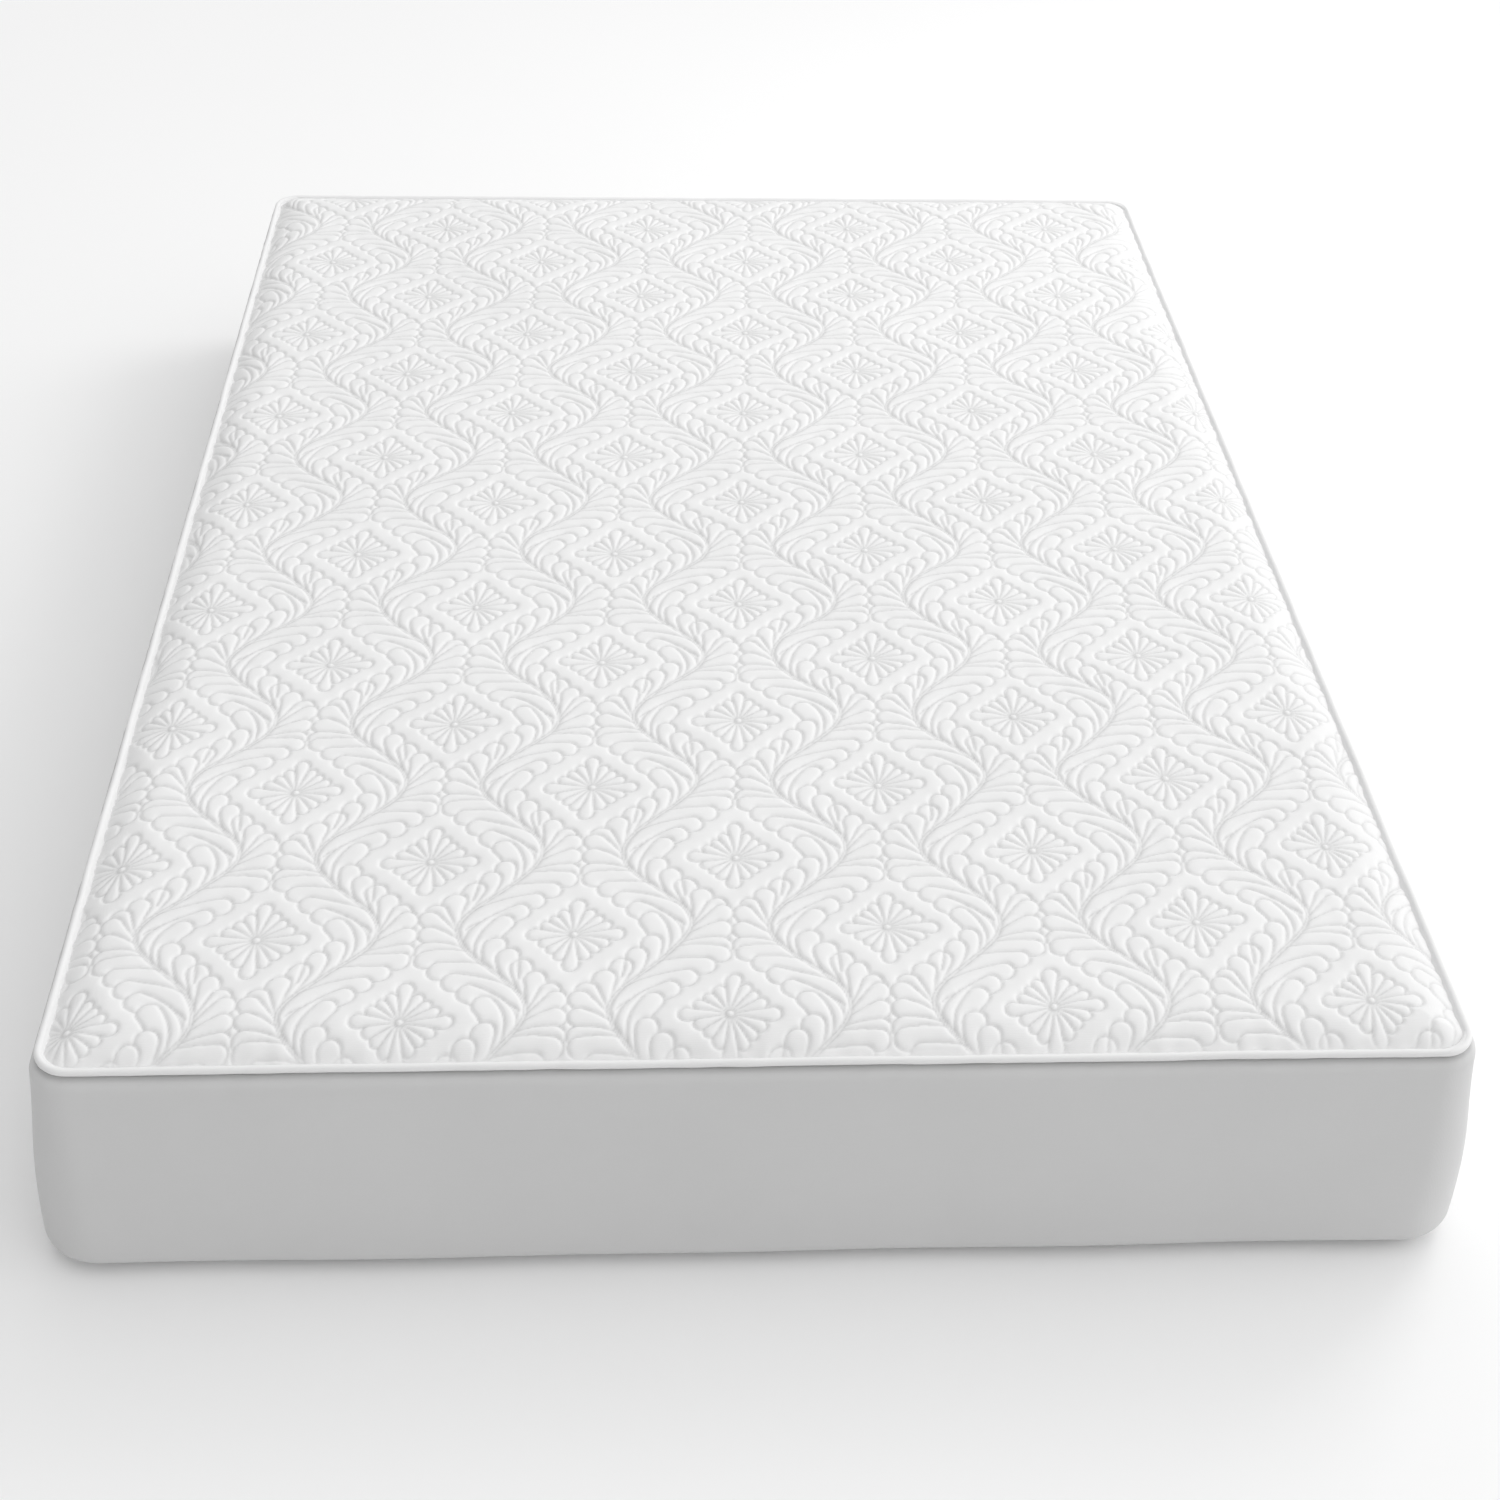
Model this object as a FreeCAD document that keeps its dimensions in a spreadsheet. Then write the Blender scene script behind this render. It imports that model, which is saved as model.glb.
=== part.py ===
"""Memory foam mattress, double size, 10 inch class: foam core, quilted zip-off cover and its zip.

The frame is +Z up, with the origin under the middle of the mattress, on the surface it rests on.
X runs across the width and Y along the length, with the head end at +Y.
"""
import FreeCAD, Part
import os
import re

import Sketcher
from FreeCAD import Vector

# Driving dimensions in millimetres, each kept in a spreadsheet cell under the same name.
SIZES = {
    # Whole mattress
    "ground_level": 0,
    "overall_width": 1372,
    "overall_length": 1905,
    "side_swell": 12,
    "side_lean": 14,
    "seam_corner_radius": 35,
    # Foam core, three layers in a knitted sock
    "base_foam_height": 127,
    "transition_foam_height": 50,
    "memory_foam_height": 66,
    "sock_thickness": 1,
    "sock_top_radius": 22,
    "sock_bottom_radius": 28,
    # Border
    "seam_height": 247,
    "band_thickness": 1.5,
    "wadding_gap": 1,
    "wadding_thickness": 10,
    "shoulder_radius": 16,
    "foot_radius": 28,
    "bottom_panel_thickness": 2,
    # Quilted top
    "backing_thickness": 1,
    "quilt_fill_thickness": 17.5,
    "face_thickness": 1.5,
    "quilt_edge_radius": 13,
    # Piping round the top seam
    "piping_radius": 4,
    "piping_cover_thickness": 0.8,
    "piping_cord_radius": 3,
    "piping_stand_out": 1,
    "flange_reach": 15,
    "flange_thickness": 1,
    # Zip in a channel of the head end; depths are measured inwards from the head end's face
    "zip_height": 44,
    "zip_depth": 9,
    "hem_setback": 2,
    "channel_half_length": 604,
    "channel_half_width": 9,
    "chain_gap": 0.6,
    "tape_half_length": 612,
    "tape_width": 15,
    "tape_thickness": 0.7,
    "coil_half_length": 576,
    "coil_width": 3.5,
    "coil_thickness": 2.6,
    "stop_length": 3,
    "stop_thickness": 2.8,
    "stop_gap": 0.3,
    # Slider and pull tab
    "slider_park": -566,
    "slider_half_length": 8.5,
    "slider_half_width": 6,
    "slider_corner_radius": 2.5,
    "slider_plate": 1.2,
    "slider_clearance": 0.35,
    "slider_flange": 1.5,
    "slider_web": 0.5,
    "slider_web_length": 5,
    "bridge_half_width": 1.6,
    "bridge_tunnel_half_length": 3.5,
    "bridge_tunnel_height": 3,
    "bridge_thickness": 1.2,
    "bridge_post": 1.5,
    "pull_thickness": 1.6,
    "pull_half_width": 4,
    "pull_tip_half_width": 3,
    "pull_length": 32,
    "pull_eye_length": 7,
    "pull_eye_half_width": 2.2,
    "pull_slot_start": 12,
    "pull_slot_length": 12,
    "pull_slot_half_width": 1.3,
    # Blank care label on the head end
    "label_middle": 470,
    "label_bottom": 100,
    "label_half_width": 32,
    "label_height": 90,
    "label_thickness": 0.5,
}

doc = FreeCAD.newDocument("MemoryFoamMattress")
sheet = doc.addObject("Spreadsheet::Sheet", "Sizes")
for row, (alias, value) in enumerate(SIZES.items(), start=1):
    sheet.set(f"A{row}", alias)
    sheet.set(f"B{row}", str(value))
    sheet.setAlias(f"B{row}", alias)
doc.recompute()

HALF_WIDTH = "overall_width / 2"
HALF_LENGTH = "overall_length / 2"
SEAM_INSET = "(side_swell + side_lean)"
SEAM_X = f"({HALF_WIDTH} - {SEAM_INSET})"
SEAM_Y = f"({HALF_LENGTH} - {SEAM_INSET})"
SEAM_Z = "seam_height"


def linked(expression):
    """The expression with each size's name pointing at its spreadsheet cell."""
    return re.sub(r"[a-z_]+", lambda m: f"Sizes.{m[0]}" if m[0] in SIZES else m[0], expression)


def number(expression):
    """What the expression comes to, in millimetres."""
    return float(sheet.evalExpression(linked(expression)))


def new_body(name, label):
    """An empty PartDesign body."""
    body = doc.addObject("PartDesign::Body", name)
    body.Label = label
    return body


def sketch_on(body, name, role, offset=None):
    """A sketch on one of the body's origin planes, moved along its normal by the offset."""
    plane = next(o for o in body.Origin.OriginFeatures if o.Role == role)
    sketch = body.newObject("Sketcher::SketchObject", name)
    sketch.AttachmentSupport = [(plane, "")]
    sketch.MapMode = "FlatFace"
    if offset:
        sketch.setExpression("AttachmentOffset.Base.z", linked(offset))
    return sketch


def pin(sketch, edge, end, spot):
    """Hold one end of an edge at a spot given by two expressions."""
    for kind, expression in zip(("DistanceX", "DistanceY"), spot):
        place = Sketcher.Constraint(kind, -1, 1, edge, end, number(expression))
        index = sketch.addConstraint(place)
        sketch.setExpression(f"Constraints[{index}]", linked(expression))


def hold_radius(sketch, edge, expression):
    """Hold an arc's or a circle's radius."""
    index = sketch.addConstraint(Sketcher.Constraint("Radius", edge, number(expression)))
    sketch.setExpression(f"Constraints[{index}]", linked(expression))


def add_loop(sketch, corners):
    """A closed loop. Each corner is (x, y), or (x, y, radius) where an arc leads to the next corner.

    An arc bends to the left of its way for a radius given as it is, and to the right for one
    that starts with a minus sign.
    """
    spots = [Vector(number(c[0]), number(c[1]), 0) for c in corners]
    edges = []
    for index, corner in enumerate(corners):
        start, stop = spots[index], spots[(index + 1) % len(corners)]
        if len(corner) == 2:
            edge = sketch.addGeometry(Part.LineSegment(start, stop))
            edges.append((edge, 1, 2))
            continue
        turn = corner[2]
        radius = abs(number(turn))
        side = 1 if turn.startswith("-") else -1
        chord = stop - start
        normal = Vector(-chord.y, chord.x, 0).normalize() * side
        half = chord.Length / 2
        rise = radius - max(radius * radius - half * half, 0) ** 0.5
        middle = (start + stop) / 2 + normal * rise
        edge = sketch.addGeometry(Part.Arc(start, middle, stop))
        forward = sketch.getPoint(edge, 1).distanceToPoint(start) < 1e-6
        edges.append((edge, 1, 2) if forward else (edge, 2, 1))
    for index, (edge, first, _) in enumerate(edges):
        before, _, last = edges[index - 1]
        sketch.addConstraint(Sketcher.Constraint("Coincident", before, last, edge, first))
        pin(sketch, edge, first, corners[index][:2])
    for (edge, _, _), corner in zip(edges, corners):
        if len(corner) == 3:
            hold_radius(sketch, edge, corner[2].lstrip("-"))


def add_circle(sketch, centre, radius):
    """A circle."""
    spot = Vector(number(centre[0]), number(centre[1]), 0)
    edge = sketch.addGeometry(Part.Circle(spot, Vector(0, 0, 1), number(radius)))
    pin(sketch, edge, 3, centre)
    hold_radius(sketch, edge, radius)


def rectangle(left, right, low, high):
    """The four corners of a rectangle."""
    return [(left, low), (right, low), (right, high), (left, high)]


def rounded_rectangle(half_x, half_y, radius):
    """The corners and arcs of a rounded rectangle about the origin."""
    near_x, near_y = f"({half_x} - ({radius}))", f"({half_y} - ({radius}))"
    return [
        (f"-{near_x}", f"-({half_y})"),
        (near_x, f"-({half_y})", radius),
        (f"{half_x}", f"-{near_y}"),
        (f"{half_x}", near_y, radius),
        (near_x, f"{half_y}"),
        (f"-{near_x}", f"{half_y}", radius),
        (f"-({half_x})", near_y),
        (f"-({half_x})", f"-{near_y}", radius),
    ]


def add_pad(body, name, sketch, length):
    """Thicken a sketch along its normal."""
    pad = body.newObject("PartDesign::Pad", name)
    pad.Profile = sketch
    pad.setExpression("Length", linked(length))
    doc.recompute()
    return pad


def add_pocket(body, name, sketch, length):
    """Cut a sketch out against its normal, and make sure that it removed something."""
    before = body.Shape.Volume
    pocket = body.newObject("PartDesign::Pocket", name)
    pocket.Profile = sketch
    pocket.setExpression("Length", linked(length))
    doc.recompute()
    if body.Shape.Volume > before - 1e-3:
        raise RuntimeError(f"{name} cut nothing")
    return pocket


def round_edges(body, name, feature, radius, chosen):
    """Fillet the edges of a feature that the test chooses."""
    names = [f"Edge{i}" for i, e in enumerate(feature.Shape.Edges, start=1) if chosen(e)]
    fillet = body.newObject("PartDesign::Fillet", name)
    fillet.Base = (feature, names)
    fillet.setExpression("Radius", linked(radius))
    doc.recompute()
    return fillet


def slab(name, label, inset, bottom, height, top_radius=None, bottom_radius=None):
    """A plate with the mattress's rounded outline, set in from the overall sides by the inset."""
    body = new_body(name, label)
    sketch = sketch_on(body, f"{name}Outline", "XY_Plane", bottom)
    radius = f"seam_corner_radius + {SEAM_INSET} - ({inset})"
    outline = rounded_rectangle(f"({HALF_WIDTH} - ({inset}))", f"({HALF_LENGTH} - ({inset}))", radius)
    add_loop(sketch, outline)
    feature = add_pad(body, f"{name}Pad", sketch, height)
    for suffix, edge_radius, level in (
        ("TopEdge", top_radius, number(f"{bottom} + {height}")),
        ("BottomEdge", bottom_radius, number(bottom)),
    ):
        if edge_radius:
            feature = round_edges(
                body, f"{name}{suffix}", feature, edge_radius,
                lambda e: abs(e.BoundBox.ZMin - level) < 1e-6 and abs(e.BoundBox.ZMax - level) < 1e-6,
            )
    return body


def cut(name, label, whole, hollow):
    """One solid less another."""
    result = doc.addObject("Part::Cut", name)
    result.Label = label
    result.Base = whole
    result.Tool = hollow
    doc.recompute()
    return result


def ring(name, label, draw):
    """A profile swept once round the top seam's outline. The draw function fills its sketch."""
    body = new_body(name, label)
    path = sketch_on(body, f"{name}Path", "XY_Plane", SEAM_Z)
    add_loop(path, rounded_rectangle(SEAM_X, SEAM_Y, "seam_corner_radius"))
    profile = sketch_on(body, f"{name}Profile", "XZ_Plane", f"{SEAM_Y} - seam_corner_radius")
    draw(profile)
    doc.recompute()
    pipe = body.newObject("PartDesign::AdditivePipe", f"{name}Sweep")
    pipe.Profile = profile
    pipe.Spine = (path, [f"Edge{i}" for i in range(1, len(path.Shape.Edges) + 1)])
    doc.recompute()
    return body


# ---- Foam core: three glued foam layers inside a knitted fire-barrier sock ----

SOCK_INSET = "(side_lean + band_thickness + wadding_gap + wadding_thickness)"
FOAM_INSET = f"({SOCK_INSET} + sock_thickness)"
SOCK_BOTTOM = "bottom_panel_thickness"
BASE_BOTTOM = "bottom_panel_thickness + sock_thickness"
TRANSITION_BOTTOM = f"{BASE_BOTTOM} + base_foam_height"
MEMORY_BOTTOM = f"{TRANSITION_BOTTOM} + transition_foam_height"
CORE_HEIGHT = "base_foam_height + transition_foam_height + memory_foam_height"


def make_foam_core():
    """The base, transition and memory foam layers, and the sock that holds them."""
    base = slab("BaseSupportFoam", "base_support_foam", FOAM_INSET, BASE_BOTTOM,
                "base_foam_height", bottom_radius="sock_bottom_radius - sock_thickness")
    transition = slab("TransitionFoam", "transition_foam", FOAM_INSET, TRANSITION_BOTTOM,
                      "transition_foam_height")
    memory = slab("MemoryFoamLayer", "memory_foam_layer", FOAM_INSET, MEMORY_BOTTOM,
                  "memory_foam_height", top_radius="sock_top_radius - sock_thickness")
    outside = slab("SockOutside", "sock_outside", SOCK_INSET, SOCK_BOTTOM,
                   f"{CORE_HEIGHT} + 2 * sock_thickness", "sock_top_radius", "sock_bottom_radius")
    inside = slab("SockInside", "sock_inside", FOAM_INSET, BASE_BOTTOM, CORE_HEIGHT,
                  "sock_top_radius - sock_thickness", "sock_bottom_radius - sock_thickness")
    sock = cut("InnerSock", "inner_sock", outside, inside)
    return [base, transition, memory, sock]


# ---- Quilted top: face fabric over fill over backing, with piping in its seam ----

QUILT_INSET = "(side_lean + shoulder_radius)"
BACKING_INSET = f"({SEAM_INSET} + flange_reach)"
FILL_BOTTOM = "seam_height + backing_thickness"


def make_quilted_top():
    """The three layers of the quilted panel."""
    backing = slab("QuiltBacking", "quilt_backing", BACKING_INSET, SEAM_Z, "backing_thickness")
    fill = slab("QuiltFill", "quilt_fill", f"{QUILT_INSET} + face_thickness", FILL_BOTTOM,
                "quilt_fill_thickness", top_radius="quilt_edge_radius")
    outside = slab("FaceOutside", "face_outside", QUILT_INSET, FILL_BOTTOM,
                   "quilt_fill_thickness + face_thickness", "quilt_edge_radius + face_thickness")
    face = cut("QuiltFaceFabric", "quilt_face_fabric", outside, fill)
    return [backing, fill, face]


PIPING_X = f"({SEAM_X} + piping_stand_out)"
PIPING_Z = "(seam_height + piping_radius)"


def draw_piping_cord(sketch):
    """The round filler cord."""
    add_circle(sketch, (PIPING_X, PIPING_Z), "piping_cord_radius")


def draw_piping_bore(sketch):
    """The inside of the piping's fabric."""
    add_circle(sketch, (PIPING_X, PIPING_Z), "piping_radius - piping_cover_thickness")


def draw_piping_fabric(sketch):
    """The outside of the piping's fabric, with both edges in one flange that points inwards."""
    drop = "(piping_radius - flange_thickness)"
    reach = f"{PIPING_X} - sqrt(piping_radius ^ 2 - {drop} ^ 2)"
    inner = f"{SEAM_X} - flange_reach"
    add_loop(sketch, [
        (inner, SEAM_Z),
        (PIPING_X, SEAM_Z, "piping_radius"),
        (f"{PIPING_X} + piping_radius", PIPING_Z, "piping_radius"),
        (PIPING_X, "seam_height + 2 * piping_radius", "piping_radius"),
        (reach, "seam_height + flange_thickness"),
        (inner, "seam_height + flange_thickness"),
    ])


def make_piping():
    """The filler cord and the fabric sewn round it."""
    cord = ring("PipingCord", "piping_cord", draw_piping_cord)
    fabric = ring("PipingFabric", "piping_fabric", draw_piping_fabric)
    bore = ring("PipingBore", "piping_bore", draw_piping_bore)
    return [cord, cut("PipingCover", "piping_cover", fabric, bore)]


# ---- Border: knitted band, wadding behind it and the bottom panel ----

SHOULDER_X = f"({HALF_WIDTH} - side_lean - shoulder_radius)"
SHOULDER_Z = "(seam_height - shoulder_radius)"
FOOT_X = f"({HALF_WIDTH} - foot_radius)"
INNER_X = f"({HALF_WIDTH} - band_thickness)"


def draw_band(sketch):
    """The band's section: a shoulder under the piping, a side that leans in, and a rounded foot."""
    add_loop(sketch, [
        (FOOT_X, "ground_level", "foot_radius"),
        (HALF_WIDTH, "foot_radius"),
        (f"{HALF_WIDTH} - side_lean", SHOULDER_Z, "shoulder_radius"),
        (SHOULDER_X, SEAM_Z),
        (SHOULDER_X, "seam_height - band_thickness", "-(shoulder_radius - band_thickness)"),
        (f"{INNER_X} - side_lean", SHOULDER_Z),
        (INNER_X, "foot_radius", "-(foot_radius - band_thickness)"),
        (FOOT_X, "band_thickness"),
    ])


def draw_wadding(sketch):
    """The wadding's section, which fills the space between the band and the sock."""
    sock_x = f"({HALF_WIDTH} - {SOCK_INSET})"
    outer_x = f"({INNER_X} - wadding_gap)"
    top_radius = "shoulder_radius - band_thickness - wadding_gap"
    bottom_radius = "foot_radius - band_thickness - wadding_gap"
    top_rise = f"sqrt(({top_radius}) ^ 2 - ({sock_x} - {SHOULDER_X}) ^ 2)"
    foot_drop = f"sqrt(({bottom_radius}) ^ 2 - ({sock_x} - {FOOT_X}) ^ 2)"
    add_loop(sketch, [
        (sock_x, f"foot_radius - {foot_drop}", bottom_radius),
        (outer_x, "foot_radius"),
        (f"{outer_x} - side_lean", SHOULDER_Z, top_radius),
        (sock_x, f"{SHOULDER_Z} + {top_rise}"),
    ])


def at_depth(depth):
    """Where a sketch parallel to the head end lies, for a depth inwards from its face."""
    return f"({depth}) - {HALF_LENGTH}"


def channel_corners(half_length, half_width):
    """The corners of the zip channel, or of its hem, about the zip's middle line."""
    return rectangle(f"-({half_length})", half_length,
                     f"zip_height - ({half_width})", f"zip_height + {half_width}")


def make_border():
    """The band with its hemmed zip channel, the wadding cut away round the zip, and the bottom."""
    mouth_outline = channel_corners("channel_half_length", "channel_half_width")
    hem_outline = channel_corners("channel_half_length + band_thickness",
                                  "channel_half_width + band_thickness")
    band = ring("BorderBand", "border_band", draw_band)
    hem = sketch_on(band, "ChannelHem", "XZ_Plane", at_depth("hem_setback"))
    add_loop(hem, hem_outline)
    add_pad(band, "ChannelHemPad", hem, "zip_depth - hem_setback")
    mouth = sketch_on(band, "ChannelMouth", "XZ_Plane", at_depth("zip_depth"))
    add_loop(mouth, mouth_outline)
    add_pocket(band, "ChannelMouthPocket", mouth, "zip_depth")

    wadding = ring("BorderWadding", "border_wadding", draw_wadding)
    opening = sketch_on(wadding, "ChannelOpening", "XZ_Plane", at_depth(SOCK_INSET))
    add_loop(opening, hem_outline)
    add_pocket(wadding, "ChannelOpeningPocket", opening, "side_lean + wadding_thickness")
    seat = sketch_on(wadding, "TapeSeat", "XZ_Plane", at_depth("zip_depth + tape_thickness"))
    add_loop(seat, rectangle("-tape_half_length", "tape_half_length",
                             "zip_height - chain_gap - tape_width",
                             "zip_height + chain_gap + tape_width"))
    add_pocket(wadding, "TapeSeatPocket", seat, "tape_thickness")

    bottom = slab("BottomPanel", "bottom_panel", "foot_radius", "ground_level",
                  "bottom_panel_thickness")
    return [band, wadding, bottom]


# ---- Zip: two tapes with coils, end stops, slider and pull tab ----

COIL_TOP = "(zip_depth - coil_thickness)"
PLATE_OUTSIDE = f"({COIL_TOP} - slider_clearance - slider_plate)"
BRIDGE_INSIDE = f"({PLATE_OUTSIDE} - bridge_tunnel_height)"
PULL_AXIS_DEPTH = f"({PLATE_OUTSIDE} - bridge_tunnel_height / 2)"


def plate(name, label, corners, depth, thickness):
    """A flat piece parallel to the head end, from a depth inwards."""
    body = new_body(name, label)
    sketch = sketch_on(body, f"{name}Outline", "XZ_Plane", at_depth(depth))
    add_loop(sketch, corners)
    add_pad(body, f"{name}Pad", sketch, thickness)
    return body


def beside_chain(near, far, upper):
    """A stretch of height beside the zip's middle line, above it or below it."""
    if upper:
        return f"zip_height + {near}", f"zip_height + {far}"
    return f"zip_height - ({far})", f"zip_height - ({near})"


def make_zip_halves():
    """One tape and one coil for each side of the opening."""
    pieces = []
    for side, upper in (("upper", True), ("lower", False)):
        low, high = beside_chain("chain_gap", "chain_gap + tape_width", upper)
        pieces.append(plate(f"ZipperTape{side.title()}", f"zipper_tape_{side}",
                            rectangle("-tape_half_length", "tape_half_length", low, high),
                            "zip_depth", "tape_thickness"))
        low, high = beside_chain("chain_gap", "chain_gap + coil_width", upper)
        pieces.append(plate(f"ZipperCoil{side.title()}", f"zipper_coil_{side}",
                            rectangle("-coil_half_length", "coil_half_length", low, high),
                            COIL_TOP, "coil_thickness"))
    return pieces


def make_stops():
    """A top stop on each tape at the closed end, and one bottom stop across both at the other."""
    near, far = "(coil_half_length + stop_gap)", "(coil_half_length + stop_gap + stop_length)"
    depth = "zip_depth - stop_thickness"
    stops = []
    for side, upper in (("upper", True), ("lower", False)):
        low, high = beside_chain("chain_gap", "chain_gap + coil_width", upper)
        stops.append(plate(f"ZipperTopStop{side.title()}", f"zipper_top_stop_{side}",
                           rectangle(f"-{far}", f"-{near}", low, high), depth, "stop_thickness"))
    reach = "(chain_gap + coil_width)"
    stops.append(plate("ZipperBottomStop", "zipper_bottom_stop",
                       rectangle(near, far, f"zip_height - {reach}", f"zip_height + {reach}"),
                       depth, "stop_thickness"))
    return stops


def slider_outline():
    """The slider's plates seen from behind the mattress, with rounded corners."""
    return [
        (f"slider_park + ({x})", f"zip_height + ({z})", *radius)
        for x, z, *radius in rounded_rectangle("slider_half_length", "slider_half_width",
                                               "slider_corner_radius")
    ]


def add_slider_part(body, name, corners, depth, thickness):
    """One more flat part of the slider's casting."""
    sketch = sketch_on(body, name, "XZ_Plane", at_depth(depth))
    add_loop(sketch, corners)
    add_pad(body, f"{name}Pad", sketch, thickness)


def make_slider():
    """The slider: two plates joined by a thin web, side flanges and a bridge for the pull tab."""
    body = new_body("ZipperSlider", "zipper_slider")
    add_slider_part(body, "OuterPlate", slider_outline(), PLATE_OUTSIDE, "slider_plate")
    flange_depth = "(coil_thickness - 2 * slider_clearance)"
    half_run = "(slider_half_length - slider_corner_radius)"
    for side, upper in (("Upper", True), ("Lower", False)):
        low, high = beside_chain("slider_half_width - slider_flange", "slider_half_width", upper)
        add_slider_part(body, f"Flange{side}",
                        rectangle(f"slider_park - {half_run}", f"slider_park + {half_run}", low, high),
                        f"{PLATE_OUTSIDE} + slider_plate", flange_depth)
    web_depth = "(coil_thickness + tape_thickness + 2 * slider_clearance)"
    add_slider_part(body, "Web",
                    rectangle("slider_park - slider_half_length",
                              "slider_park - slider_half_length + slider_web_length",
                              "zip_height - slider_web / 2", "zip_height + slider_web / 2"),
                    f"{PLATE_OUTSIDE} + slider_plate", web_depth)
    add_slider_part(body, "InnerPlate", slider_outline(),
                    "zip_depth + tape_thickness + slider_clearance", "slider_plate")

    bridge = sketch_on(body, "Bridge", "XY_Plane", "zip_height - bridge_half_width")
    reach = "(bridge_tunnel_half_length + bridge_post)"
    tunnel = "bridge_tunnel_half_length"
    floor_y = f"{HALF_LENGTH} - {PLATE_OUTSIDE}"
    roof_y = f"{HALF_LENGTH} - {BRIDGE_INSIDE}"
    top_y = f"{HALF_LENGTH} - {BRIDGE_INSIDE} + bridge_thickness"
    add_loop(bridge, [
        (f"slider_park - {reach}", floor_y),
        (f"slider_park - {tunnel}", floor_y),
        (f"slider_park - {tunnel}", roof_y),
        (f"slider_park + {tunnel}", roof_y),
        (f"slider_park + {tunnel}", floor_y),
        (f"slider_park + {reach}", floor_y),
        (f"slider_park + {reach}", roof_y, "bridge_thickness"),
        (f"slider_park + {reach} - bridge_thickness", top_y),
        (f"slider_park - {reach} + bridge_thickness", top_y, "bridge_thickness"),
        (f"slider_park - {reach}", roof_y),
    ])
    add_pad(body, "BridgePad", bridge, "2 * bridge_half_width")
    return body


def make_pull_tab():
    """The pull tab: a tapered plate whose eye goes round the bridge and whose end bar turns in it."""
    body = new_body("ZipperPullTab", "zipper_pull_tab")
    bar = sketch_on(body, "EndBar", "XY_Plane", "zip_height - pull_half_width")
    add_circle(bar, ("slider_park", f"{HALF_LENGTH} - {PULL_AXIS_DEPTH}"), "pull_thickness / 2")
    add_pad(body, "EndBarPad", bar, "2 * pull_half_width")
    sketch = sketch_on(body, "TabOutline", "XZ_Plane",
                       at_depth(f"{PULL_AXIS_DEPTH} - pull_thickness / 2"))
    back = "slider_park"
    tip = f"{back} + pull_length"
    add_loop(sketch, [
        (back, "zip_height - pull_half_width"),
        (f"{back} + pull_eye_length + pull_thickness", "zip_height - pull_half_width"),
        (f"{tip} - pull_tip_half_width", "zip_height - pull_tip_half_width", "pull_tip_half_width"),
        (tip, "zip_height", "pull_tip_half_width"),
        (f"{tip} - pull_tip_half_width", "zip_height + pull_tip_half_width"),
        (f"{back} + pull_eye_length + pull_thickness", "zip_height + pull_half_width"),
        (back, "zip_height + pull_half_width"),
    ])
    add_loop(sketch, rectangle("slider_park + pull_thickness / 2", "slider_park + pull_eye_length",
                               "zip_height - pull_eye_half_width",
                               "zip_height + pull_eye_half_width"))
    slot = "pull_slot_half_width"
    slot_start = "slider_park + pull_slot_start"
    slot_end = f"{slot_start} + pull_slot_length"
    add_loop(sketch, [
        (slot_start, f"zip_height - {slot}"),
        (slot_end, f"zip_height - {slot}", slot),
        (f"{slot_end} + {slot}", "zip_height", slot),
        (slot_end, f"zip_height + {slot}"),
        (slot_start, f"zip_height + {slot}", slot),
        (f"{slot_start} - {slot}", "zip_height", slot),
    ])
    add_pad(body, "TabPad", sketch, "pull_thickness")
    return body


def make_care_label():
    """A blank woven label, sewn flat to the head end's leaning side."""
    body = new_body("CareLabel", "care_label")
    section = sketch_on(body, "LabelSection", "YZ_Plane", "label_middle - label_half_width")
    slope = f"side_lean / ({SHOULDER_Z} - foot_radius)"
    top = "(label_bottom + label_height)"
    low_y = f"{HALF_LENGTH} - (label_bottom - foot_radius) * {slope}"
    high_y = f"{HALF_LENGTH} - ({top} - foot_radius) * {slope}"
    add_loop(section, [
        (low_y, "label_bottom"),
        (f"{low_y} + label_thickness", "label_bottom"),
        (f"{high_y} + label_thickness", top),
        (high_y, top),
    ])
    add_pad(body, "LabelPad", section, "2 * label_half_width")
    return body


def check(pieces):
    """Stop if any object of the document failed, or if a piece isn't one good shape."""
    for item in doc.Objects:
        if "Invalid" in item.State or "Error" in item.State:
            raise RuntimeError(f"{item.Name} failed: {item.State}")
    for piece in pieces:
        if piece.Shape.isNull() or not piece.Shape.isValid():
            raise RuntimeError(f"{piece.Label} has no valid shape")


def export(pieces):
    """Write each piece to its own STEP file."""
    os.makedirs("parts", exist_ok=True)
    for piece in pieces:
        piece.Shape.exportStep(f"parts/{piece.Label}.step")
        box = piece.Shape.BoundBox
        print(f"{piece.Label:24s} {piece.Shape.Volume / 1000:12.3f} cm3  "
              f"{box.XLength:8.1f} x {box.YLength:8.1f} x {box.ZLength:7.1f}, from z {box.ZMin:.1f}")


pieces = [
    *make_foam_core(),
    *make_quilted_top(),
    *make_piping(),
    *make_border(),
    *make_zip_halves(),
    *make_stops(),
    make_slider(),
    make_pull_tab(),
    make_care_label(),
]
doc.recompute()
check(pieces)
export(pieces)
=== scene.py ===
"""Looks of the memory foam mattress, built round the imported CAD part.

Lengths are millimetres in the mattress's own frame, and each mesh is written in metres.
"""
import math

import bpy
import numpy as np
from mathutils import Matrix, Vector
from mathutils.bvhtree import BVHTree


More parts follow.
